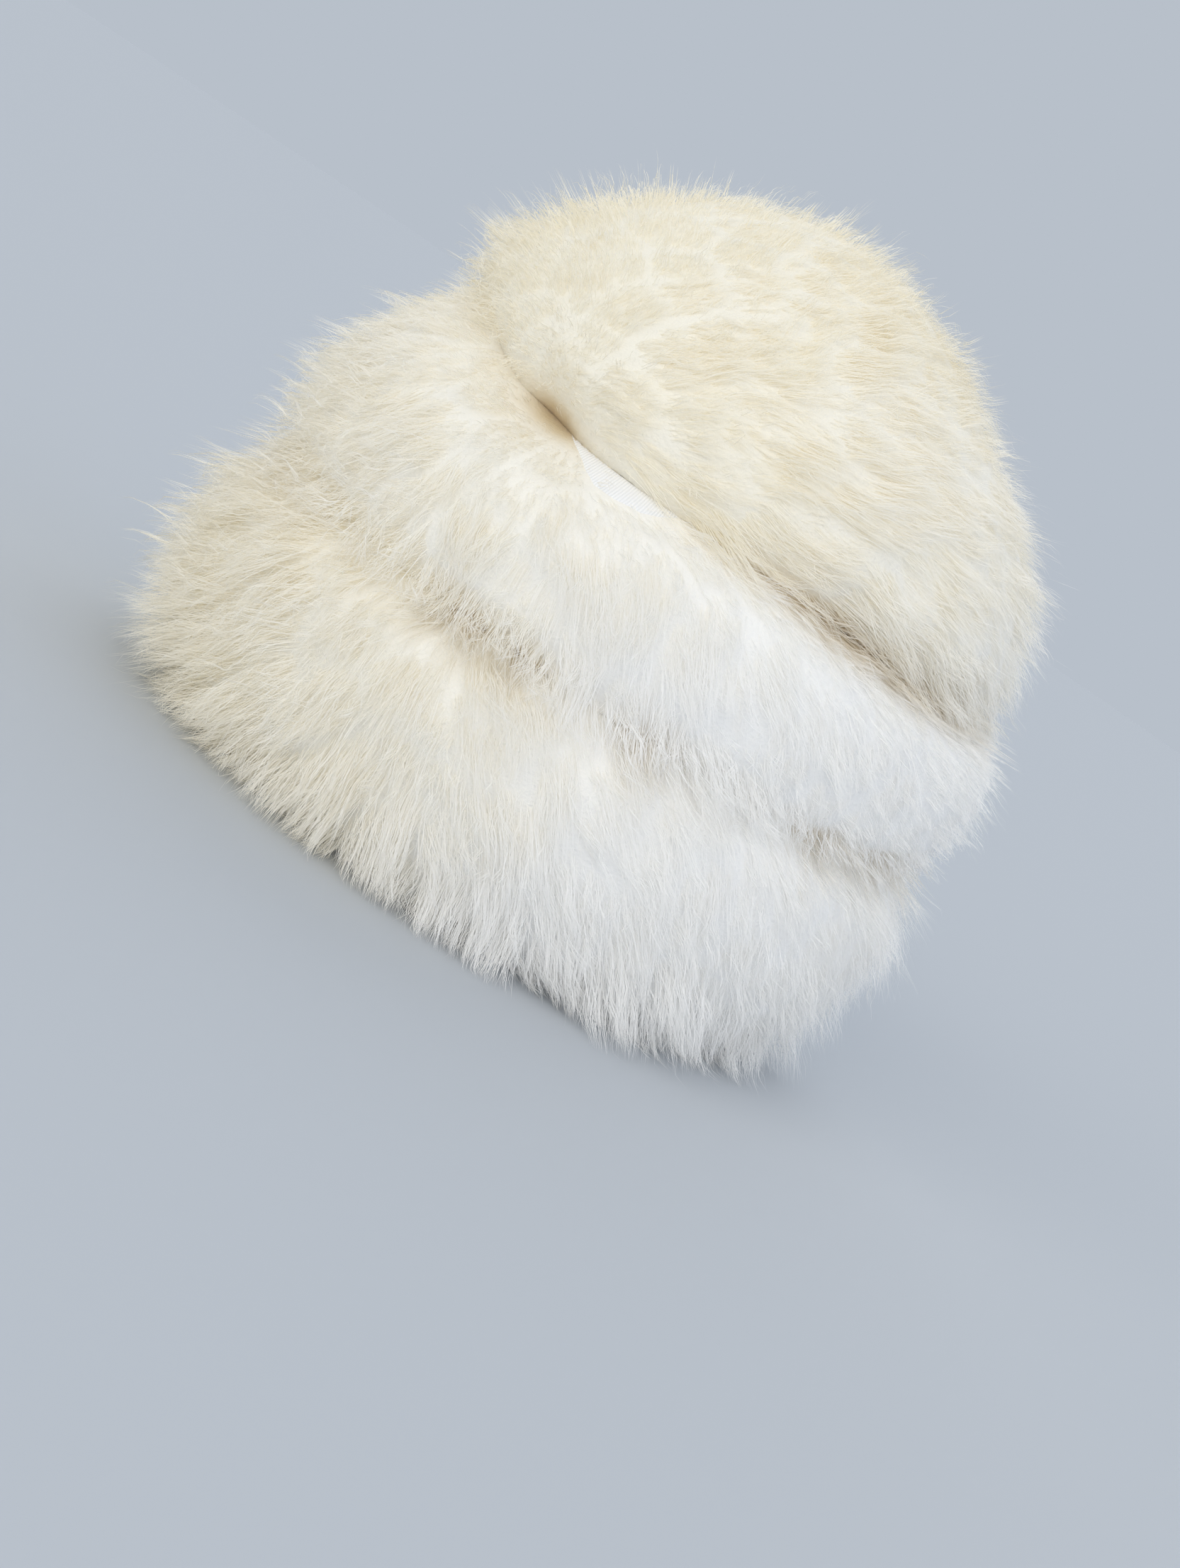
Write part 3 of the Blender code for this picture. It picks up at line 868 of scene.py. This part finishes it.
# %% Keep these with each root while the strip is put on it
kept = add(wool, "GeometryNodeCaptureAttribute", {"Geometry": scattered})
VECTORS = {
    "root": place, "reach": reach_own, "comb": comb_own, "pull": pull, "sideways": sideways,
    "outwards": outwards, "facing": facing,
}
FLOATS = {"swing": swing, "start turn": start_turn, "width": width, "tone": tone, "tint": tint}
NUMBERS = {"number": add(wool, "GeometryNodeInputIndex")}
for kind, wanted in (("VECTOR", VECTORS), ("FLOAT", FLOATS), ("INT", NUMBERS)):
    for name, node in wanted.items():
        kept.capture_items.new(kind, name)
        wool.links.new(result(node), kept.inputs[name])
root = kept.outputs

# %% The blank strip: a unit long, a unit wide, tapered to a point
TAPER_POWER = 3.0
MERGED = 0.001
rows = add(wool, MATH, (given["Segments"], 1.0), "ADD")
strip = add(
    wool,
    "GeometryNodeMeshGrid",
    {"Size X": 1.0, "Size Y": 1.0, "Vertices X": 2, "Vertices Y": rows},
)
corner = add(wool, "ShaderNodeSeparateXYZ", (add(wool, "GeometryNodeInputPosition"),)).outputs
along = add(wool, MATH, (corner["Y"], 0.5), "ADD")
lost = add(wool, MATH, (along, TAPER_POWER), "POWER")
taper = add(wool, MATH, (1.0, lost), "SUBTRACT")
tapered = add(wool, MATH, (corner["X"], taper), "MULTIPLY")
blank_corner = add(wool, "ShaderNodeCombineXYZ", {"X": tapered, "Y": along})
strip = add(wool, "GeometryNodeSetPosition", {"Geometry": strip, "Position": blank_corner})
strip = add(wool, "GeometryNodeMergeByDistance", {"Geometry": strip, "Distance": MERGED})
blank = add(wool, "GeometryNodeCaptureAttribute", {"Geometry": strip})
blank.capture_items.new("VECTOR", "corner")
wool.links.new(add(wool, "GeometryNodeInputPosition").outputs[0], blank.inputs["corner"])

# %% A strip on every root
planted = add(wool, "GeometryNodeInstanceOnPoints", {"Points": kept, "Instance": blank})
planted = add(wool, "GeometryNodeRealizeInstances", {"Geometry": planted})
at = add(wool, "ShaderNodeSeparateXYZ", (blank.outputs["corner"],)).outputs

# %% The line that a strand follows
BENDS = {"reach": (1.5, -0.5), "comb": (0.35, 0.65), "pull": (2.0, -1.0)}


def strand_line(v):
    """Adds the nodes that place a strand's middle line, v of the way to its tip."""
    spot = root["root"]
    for name, (start, slope) in BENDS.items():
        ease = add(wool, MATH, (v, slope, start), "MULTIPLY_ADD")
        share = add(wool, MATH, (v, ease), "MULTIPLY")
        spot = add(wool, VECTOR_MATH, (root[name], share, spot), "MULTIPLY_ADD")
    waves = add(wool, MATH, (given["Waves"], 2 * math.pi), "MULTIPLY")
    turn = add(wool, MATH, (v, waves, root["start turn"]), "MULTIPLY_ADD")
    size = add(wool, MATH, (v, root["swing"]), "MULTIPLY")
    for way, name in (("SINE", "sideways"), ("COSINE", "outwards")):
        wave = add(wool, MATH, (turn,), way)
        wave = add(wool, MATH, (wave, size), "MULTIPLY")
        spot = add(wool, VECTOR_MATH, (root[name], wave, spot), "MULTIPLY_ADD")
    return spot


# %% Bend the strips along it
STEP = 0.05
spot = strand_line(at["Y"])
ahead = strand_line(add(wool, MATH, (at["Y"], STEP), "ADD"))
heading = add(wool, VECTOR_MATH, (ahead, spot), "SUBTRACT")
edge = add(wool, VECTOR_MATH, (heading, root["facing"]), "CROSS_PRODUCT")
edge = add(wool, VECTOR_MATH, (edge,), "NORMALIZE")
breadth = add(wool, MATH, (at["X"], root["width"]), "MULTIPLY")
corner_place = add(wool, VECTOR_MATH, (edge, breadth, spot), "MULTIPLY_ADD")
corner_place = add(wool, VECTOR_MATH, (corner_place, (-1.0, -1.0, FLOOR_CLEAR)), "MAXIMUM")
bent = add(wool, "GeometryNodeSetPosition", {"Geometry": planted, "Position": corner_place})

# %% [markdown]
# A strand needs a place on a picture when its finish is baked. Blender's own unwrapping gives every
# strip a sliver of its own size. Here each strand gets one cell of an even grid instead, 256 cells
# to a row, and fills most of it. Three numbers stay on the mesh for the finish to read: how far
# along the strand a point is, the tone of its lock, and the painted shade of the deep seam grooves.

# %% Cells for baking, and numbers for the finish
COLUMNS = 256
FILLED = 0.8
count = add(
    wool, "GeometryNodeAttributeDomainSize", {"Geometry": scattered}, component="POINTCLOUD"
)
cell_rows = add(wool, MATH, (count.outputs["Point Count"], COLUMNS), "DIVIDE")
cell_rows = add(wool, MATH, (cell_rows,), "CEIL")
column = add(wool, MATH, (root["number"], COLUMNS), "MODULO")
row = add(wool, MATH, (root["number"], COLUMNS), "DIVIDE")
row = add(wool, MATH, (row,), "FLOOR")
uv = []
for share, cell, margin, cells in (
    (at["X"], column, 0.5, COLUMNS),
    (at["Y"], row, (1.0 - FILLED) / 2, cell_rows),
):
    spot = add(wool, MATH, (share, FILLED, cell), "MULTIPLY_ADD")
    spot = add(wool, MATH, (spot, margin), "ADD")
    uv.append(add(wool, MATH, (spot, cells), "DIVIDE"))
cells = add(wool, "ShaderNodeCombineXYZ", uv)
marked = bent
for name, kind, domain, value in (
    ("OFBake", "FLOAT2", "CORNER", cells),
    ("along", "FLOAT", "POINT", at["Y"]),
    ("tone", "FLOAT", "POINT", root["tone"]),
    ("tint", "FLOAT", "POINT", root["tint"]),
):
    marked = add(
        wool,
        "GeometryNodeStoreNamedAttribute",
        {"Geometry": marked, "Name": name, "Value": value},
        data_type=kind,
        domain=domain,
    )

# %% Shade the strands as a soft mass, give them their finish, and out
SOFTNESS = 2.0
lit_way = add(
    wool, VECTOR_MATH, (root["outwards"], (SOFTNESS,) * 3, root["facing"]), "MULTIPLY_ADD"
)
lit_way = add(wool, VECTOR_MATH, (lit_way,), "NORMALIZE")
smooth = add(
    wool,
    "GeometryNodeSetMeshNormal",
    {"Mesh": marked, "Custom Normal": lit_way},
    mode="FREE",
    domain="POINT",
)
finished = add(wool, "GeometryNodeSetMaterial", {"Geometry": smooth, "Material": given["Finish"]})
add(wool, "NodeGroupOutput", {"Wool": finished})
print("the wool tree has", len(wool.nodes), "nodes")

# %% [markdown]
# ## The finish of the wool
#
# Lambswool: washed and combed, a matt fibre with fine scales that scatter light. White wool is
# never quite white. It has a little natural yellow, most at the front where sun and hands get at
# it, and to that the warm light on the front and top is added as painted colour. Deep in the seam
# grooves the wool is painted beige as shade, most at its roots. Each pelt and each lock has a tone
# of its own, and the crown's darker cream is painted shade too. A fibre also lets light through, so
# part of each strand's finish is translucent: light from behind brightens the tips.

# %% Lambswool, fibre finish
TONE_CREAM = "#FBF6E8"
TONE_PALE = "#FDFCFA"
# The beige of the painted shade deep in the seam grooves.
GROOVE_SHADE_BEIGE = "#D9C8A6"
PATCH_SIZE = 70 * MM
PATCH_SHARE = 0.5
LOCK_SHARE = 0.12
# Creamier towards the front and top: partly natural yellow where sun and hands get at it, partly the
# warm light from the front painted on.
YELLOW_AND_LIT_WAY = (-0.93, 0.0, 0.37)
YELLOW_AND_LIT_FROM, YELLOW_AND_LIT_TO = -0.05, 0.11
YELLOW_AND_LIT_SHARE = 0.8
CREAM_AT, PALE_AT = -0.55, 0.25
# How much less of the painted groove shade a strand's tip gets than its root.
TIP_LESS_SHADE = 0.7
THROUGH = 0.12


def blank_finish(name):
    """A new material with an empty node tree."""
    made = bpy.data.materials.new(name)
    made.use_nodes = True
    made.node_tree.nodes.clear()
    return made, made.node_tree


def wool_colour(tree):
    """Adds the nodes for the colour of ripe wool: by its pelt and lock, its patch and its place,
    where painted warm light creams the front and top.
    """
    lock_tone = add(tree, "ShaderNodeAttribute", attribute_name="tone").outputs["Fac"]
    place = add(tree, "ShaderNodeTexCoord").outputs["Object"]
    patches = add(
        tree, "ShaderNodeTexNoise", {"Vector": place, "Scale": 1 / PATCH_SIZE, "Detail": 2.0}
    )
    patches = add(tree, MATH, (patches.outputs["Fac"], PATCH_SHARE), "MULTIPLY")
    shade = add(tree, MATH, (lock_tone, LOCK_SHARE, patches), "MULTIPLY_ADD")
    # Painted warm light, on top of natural yellow: creamier towards the front and top.
    yellow_and_lit = add(tree, VECTOR_MATH, (place, YELLOW_AND_LIT_WAY), "DOT_PRODUCT")
    yellow_and_lit = add(tree, "ShaderNodeMapRange", (yellow_and_lit.outputs["Value"], YELLOW_AND_LIT_FROM, YELLOW_AND_LIT_TO))
    shade = add(tree, MATH, (yellow_and_lit, -YELLOW_AND_LIT_SHARE, shade), "MULTIPLY_ADD")
    shade = add(tree, "ShaderNodeMapRange", (shade, CREAM_AT, PALE_AT))
    colour = add(
        tree,
        "ShaderNodeMix",
        {"Factor": shade, "A": linear(TONE_CREAM), "B": linear(TONE_PALE)},
        data_type="RGBA",
    )
    return colour.outputs["Result"]


def wool_with_groove_shade(tree, share):
    """Adds the nodes for the wool's colour, painted beige as groove shade to a share from 0 to 1."""
    colours = {"Factor": share, "A": wool_colour(tree), "B": linear(GROOVE_SHADE_BEIGE)}
    return add(tree, "ShaderNodeMix", colours, data_type="RGBA")


def wool_fibre():
    """Washed lambswool as single fibres: matt, near white, and lit through."""
    made, tree = blank_finish("lambswool_fibre")
    along_strand = add(tree, "ShaderNodeAttribute", attribute_name="along").outputs["Fac"]
    # Painted shade: beige deep in the seam grooves, most at the roots and less towards the tips.
    groove_shaded = add(tree, "ShaderNodeAttribute", attribute_name="tint").outputs["Fac"]
    towards_root = add(tree, MATH, (along_strand, -TIP_LESS_SHADE, 1.0), "MULTIPLY_ADD")
    groove_shaded = add(tree, MATH, (groove_shaded, towards_root), "MULTIPLY")
    colour = wool_with_groove_shade(tree, groove_shaded)
    fibre = add(
        tree,
        "ShaderNodeBsdfPrincipled",
        {"Base Color": colour, "Roughness": 0.6, "Specular IOR Level": 0.3, "Sheen Weight": 0.15},
    )
    through = add(tree, "ShaderNodeBsdfTranslucent", {"Color": colour})
    mixed = add(tree, "ShaderNodeMixShader", (THROUGH, fibre, through))
    add(tree, "ShaderNodeOutputMaterial", {"Surface": mixed})
    return made


fibre_finish = wool_fibre()

# %% [markdown]
# ## Growing the wool
#
# Each roll is grown four times from its shell of roots. The *down* is short, soft and only loosely
# gathered: it hides the under-wool and gives the surface its velvet look. The *locks* reach the
# outline and a little past it, and their fibres meet in a point. A few stray fibres in a hundred
# leave their lock and stand out on their own. The *curls* are long loose locks with hooked ends.
# They are sown only in front and along the lower seam, where nothing presses on the wool. The
# *wisps* are single long fibres, sown thinly on the full part of each roll behind the front. They
# give the outline its soft halo.

# %% Four layers for each roll
Layer = namedtuple(
    "Layer",
    "name sown strands segments lock gather shortest longest wave waves width stray standing",
)
DOWN = Layer(
    "down", "thick", 310000.0, 3, 5 * MM, 0.20, 0.40, 1.05, 0.9 * MM, 0.8, 0.27 * MM, 0.01, 0.0
)
LOCKS = Layer(
    "locks", "thick", 195000.0, 5, 6 * MM, 0.42, 0.70, 1.20, 1.8 * MM, 1.3, 0.24 * MM, 0.04, 0.14
)
CURLS = Layer(
    "curls", "loose", 80000.0, 8, 10 * MM, 0.85, 0.95, 1.50, 2.0 * MM, 1.4, 0.25 * MM, 0.06, 0.15
)
WISPS = Layer(
    "wisps", "full", 18000.0, 6, 9 * MM, 0.35, 1.25, 1.95, 2.0 * MM, 1.3, 0.20 * MM, 0.0, 0.0
)
LAYER_INPUTS = (
    "Sown By", "Strands", "Segments", "Lock Size", "Lock Gather", "Shortest", "Longest",
    "Wave Height", "Waves", "Width", "Stray Share", "Standing Share",
)
SEEDS = {"lower": 21, "middle": 22, "crown": 23}
# Each pelt's own tone, added to its locks' tones. The crown's is also painted shade: a darker cream
# against the light that falls on it from above.
PELT_TONES_AND_SHADE = {"lower": 1.0, "middle": 2.2, "crown": -2.2}
identifiers = {
    item.name: item.identifier
    for item in wool.interface.items_tree
    if item.item_type == "SOCKET" and item.in_out == "INPUT"
}


def grow(roll, layer):
    """One layer of a roll's wool, as a plain mesh."""
    name = f"{roll.name}_{layer.name}"
    seedling = shown_object(name, shells[roll.name].copy())
    tool = seedling.modifiers.new("wool", "NODES")
    tool.node_group = wool
    values = dict(zip(LAYER_INPUTS, layer[1:]))
    values["Seed"] = SEEDS[roll.name] + 10 * layer.segments
    values["Tone Shift"] = PELT_TONES_AND_SHADE[roll.name]
    values["Finish"] = fibre_finish
    for key, value in values.items():
        tool[identifiers[key]] = value
    graph = bpy.context.evaluated_depsgraph_get()
    mesh = bpy.data.meshes.new_from_object(seedling.evaluated_get(graph))
    bpy.data.objects.remove(seedling, do_unlink=True)
    for spare in ("reach", "comb", "thick", "loose", "full", "curl"):
        if spare in mesh.attributes:
            mesh.attributes.remove(mesh.attributes[spare])
    mesh.name = name
    return shown_object(name, mesh)


grown = {}
for roll in ROLLS:
    for layer in (DOWN, LOCKS, CURLS, WISPS):
        piece = grow(roll, layer)
        grown[piece.name] = piece
        triangles = sum(len(face.vertices) - 2 for face in piece.data.polygons)
        print(piece.name, triangles, "triangles")

# %% [markdown]
# ## The finish under the wool
#
# The under-wool is the same wool, felted. Only glimpses of it show between the locks. So it takes
# the very colour of the wool round it, and a fine fibrous bump; any other tone would look like
# dirt. The skins are the bare side of the leather: tanned lambskin, buffed to a short suede nap,
# beige and quite matt. They show inside the hat.

# %% Felted under-wool and suede
SUEDE_LIGHT = "#D8C6A8"
SUEDE_DARK = "#B89F7C"
FIBRE_SCALE = 1.5 * MM
NAP_SCALE = 0.8 * MM
HIDE_PATCH = 25 * MM
DARK_AT, LIGHT_AT = 0.7, 1.3
FELT_DEPTH = 0.6 * MM
NAP_DEPTH = 0.15 * MM


def grain(tree, size):
    """Adds fine noise of one grain size, for a nap or for felted fibres."""
    place = add(tree, "ShaderNodeTexCoord").outputs["Object"]
    noise_node = add(
        tree, "ShaderNodeTexNoise", {"Vector": place, "Scale": 1 / size, "Detail": 3.0}
    )
    return noise_node.outputs["Fac"]


def napped(tree, colour, height, depth, roughness, sheen=0.2):
    """Ends a tree with a matt, faintly silky surface that is raised by a height."""
    raised = add(tree, "ShaderNodeBump", {"Height": height, "Distance": depth})
    shader = add(
        tree,
        "ShaderNodeBsdfPrincipled",
        {"Base Color": colour, "Roughness": roughness, "Sheen Weight": sheen, "Normal": raised},
    )
    add(tree, "ShaderNodeOutputMaterial", {"Surface": shader})


def felted_wool():
    """Lambswool felted close to the skin, painted beige as shade deep in the seam grooves."""
    made, tree = blank_finish("felted_underwool")
    # Painted shade: beige deep in the seam grooves.
    groove_shaded = add(tree, "ShaderNodeAttribute", attribute_name="tint").outputs["Fac"]
    napped(tree, wool_with_groove_shade(tree, groove_shaded), grain(tree, FIBRE_SCALE), FELT_DEPTH, roughness=0.9)
    return made


def suede():
    """The skin side of tanned lambskin, buffed, in two shades of beige."""
    made, tree = blank_finish("suede_skin_side")
    fine = grain(tree, NAP_SCALE)
    both = add(tree, MATH, (grain(tree, HIDE_PATCH), fine), "ADD")
    share = add(tree, "ShaderNodeMapRange", (both, DARK_AT, LIGHT_AT))
    colour = add(
        tree,
        "ShaderNodeMix",
        {"Factor": share, "A": linear(SUEDE_DARK), "B": linear(SUEDE_LIGHT)},
        data_type="RGBA",
    )
    napped(tree, colour, fine, NAP_DEPTH, roughness=0.95)
    return made


felt_finish, suede_finish = felted_wool(), suede()
for name, body in bodies.items():
    body.data.materials.append(felt_finish)
    mark(body.data, "tone", [PELT_TONES_AND_SHADE[name]] * len(body.data.vertices))
for name in ("lower_pelt", "middle_pelt", "crown_pelt"):
    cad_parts[name].material_slots[0].material = suede_finish

# %% [markdown]
# ## The finish of the tape
#
# Bleached cotton, plain woven with a thick weft, which makes a rib straight across the tape about
# every millimetre. Finer warp threads cross the ribs. Ribs and threads are sine waves along the
# metre map: they raise the surface, and the valleys between them are a little grey, because less
# light gets in. Cotton is matt, whiter and cooler than the wool round it.

# %% Ribbed cotton
RIB_SPACING = 0.95 * MM
THREAD_SPACING = 0.40 * MM
RIB_HEIGHT = 0.16 * MM
THREAD_SHARE = 0.12
VALLEY_WIDTH = 0.6
COTTON_WHITE = "#FFFFFF"
COTTON_GREY = "#EFF0F0"


def ribbed_cotton():
    """White ribbed cotton tape."""
    made, tree = blank_finish("ribbed_cotton_tape")
    metres = add(tree, "ShaderNodeUVMap", uv_map="metres")
    place = add(tree, "ShaderNodeSeparateXYZ", (metres,)).outputs
    heights = []
    for axis, spacing in (("X", RIB_SPACING), ("Y", THREAD_SPACING)):
        turn = add(tree, MATH, (place[axis], 2 * math.pi / spacing), "MULTIPLY")
        wave = add(tree, MATH, (turn,), "SINE")
        heights.append(add(tree, "ShaderNodeMapRange", {0: wave, 1: -1.0, 2: 1.0}))
    weave = add(tree, MATH, (heights[1], THREAD_SHARE, heights[0]), "MULTIPLY_ADD")
    lit = add(tree, "ShaderNodeMapRange", (weave, 0.0, VALLEY_WIDTH))
    colour = add(
        tree,
        "ShaderNodeMix",
        {"Factor": lit, "A": linear(COTTON_GREY), "B": linear(COTTON_WHITE)},
        data_type="RGBA",
    )
    napped(tree, colour, weave, RIB_HEIGHT, roughness=0.85, sheen=0.1)
    return made


tape.data.materials.append(ribbed_cotton())
print("finishes:", len(bpy.data.materials))

# %% [markdown]
# ## Floor, light and air
#
# The hat rests on a plain pale floor under soft studio light. Lamps near the hat would leave the
# floor dark further out, and a horizon would cut the picture. So the lamps here are broad suns,
# which light the floor evenly, as a bright studio does. The floor's own colour is then worked out
# so that it ends up exactly as bright as the pale air behind it, and only the hat's shadow shows.
#
# White wool glows because light passes from fibre to fibre many times before it leaves. With only
# a few diffuse bounces the gaps between locks would turn grey, so their number is raised.

# %% The lamps and the air
Lamp = namedtuple("Lamp", "name place strength spread colour")
LAMPS = (
    Lamp("key", (-0.38, -0.90, 0.42), 1.45, 80, "#FFF9EE"),
    Lamp("fill", (0.70, -0.75, 0.35), 0.4, 90, "#F4F5FF"),
    Lamp("rim", (0.15, 0.80, 0.65), 0.7, 70, "#FFFFFF"),
)
AIR_COLOUR = "#B8C0CA"

for lamp in LAMPS:
    light = bpy.data.lights.new(lamp.name, "SUN")
    light.energy = lamp.strength
    light.angle = math.radians(lamp.spread)
    light.color = linear(lamp.colour)[:3]
    holder = shown_object(lamp.name, light)
    holder.rotation_euler = (-Vector(lamp.place)).to_track_quat("-Z", "Y").to_euler()

world = bpy.data.worlds.new("pale_air")
world.use_nodes = True
world.node_tree.nodes.clear()
air = add(world.node_tree, "ShaderNodeBackground", {"Color": linear(AIR_COLOUR), "Strength": 1.0})
add(world.node_tree, "ShaderNodeOutputWorld", {"Surface": air})
bpy.context.scene.world = world
bpy.context.scene.view_settings.view_transform = "Standard"
bpy.context.scene.cycles.diffuse_bounces = 12

# %% A floor as bright as the air
FLOOR_RADIUS = 6.0


def floor_colour():
    """The paint whose lit brightness is the air's: air / (air + lamplight)."""
    air_light = np.array(linear(AIR_COLOUR)[:3])
    lamp_light = np.zeros(3)
    for lamp in LAMPS:
        steepness = Vector(lamp.place).normalized().z
        lamp_light += np.array(linear(lamp.colour)[:3]) * lamp.strength * steepness / math.pi
    return (*(air_light / (air_light + lamp_light)), 1.0)


floor_mesh = bpy.data.meshes.new("floor")
work = bmesh.new()
bmesh.ops.create_circle(work, cap_ends=True, segments=64, radius=FLOOR_RADIUS)
work.to_mesh(floor_mesh)
work.free()
floor = shown_object("floor", floor_mesh)

paint, tree = blank_finish("matt_floor_paint")
matt = add(tree, "ShaderNodeBsdfDiffuse", {"Color": floor_colour()})
add(tree, "ShaderNodeOutputMaterial", {"Surface": matt})
floor.data.materials.append(paint)
print("floor paint:", [round(part, 3) for part in floor_colour()[:3]])

# %% [markdown]
# ## Riding on one body
#
# Every piece rides on the hat's one body, and the imported solids that the new pieces stand in for,
# the three rolls of wool and the tape, are hidden.

# %% Rides, and the solids replaced
for roll in ROLLS:
    body = bodies[roll.name]
    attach(body, "root")
    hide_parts(f"{roll.name}_fur")
for piece in grown.values():
    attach(piece, "root")
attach(tape, "root")
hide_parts("seam_tape")
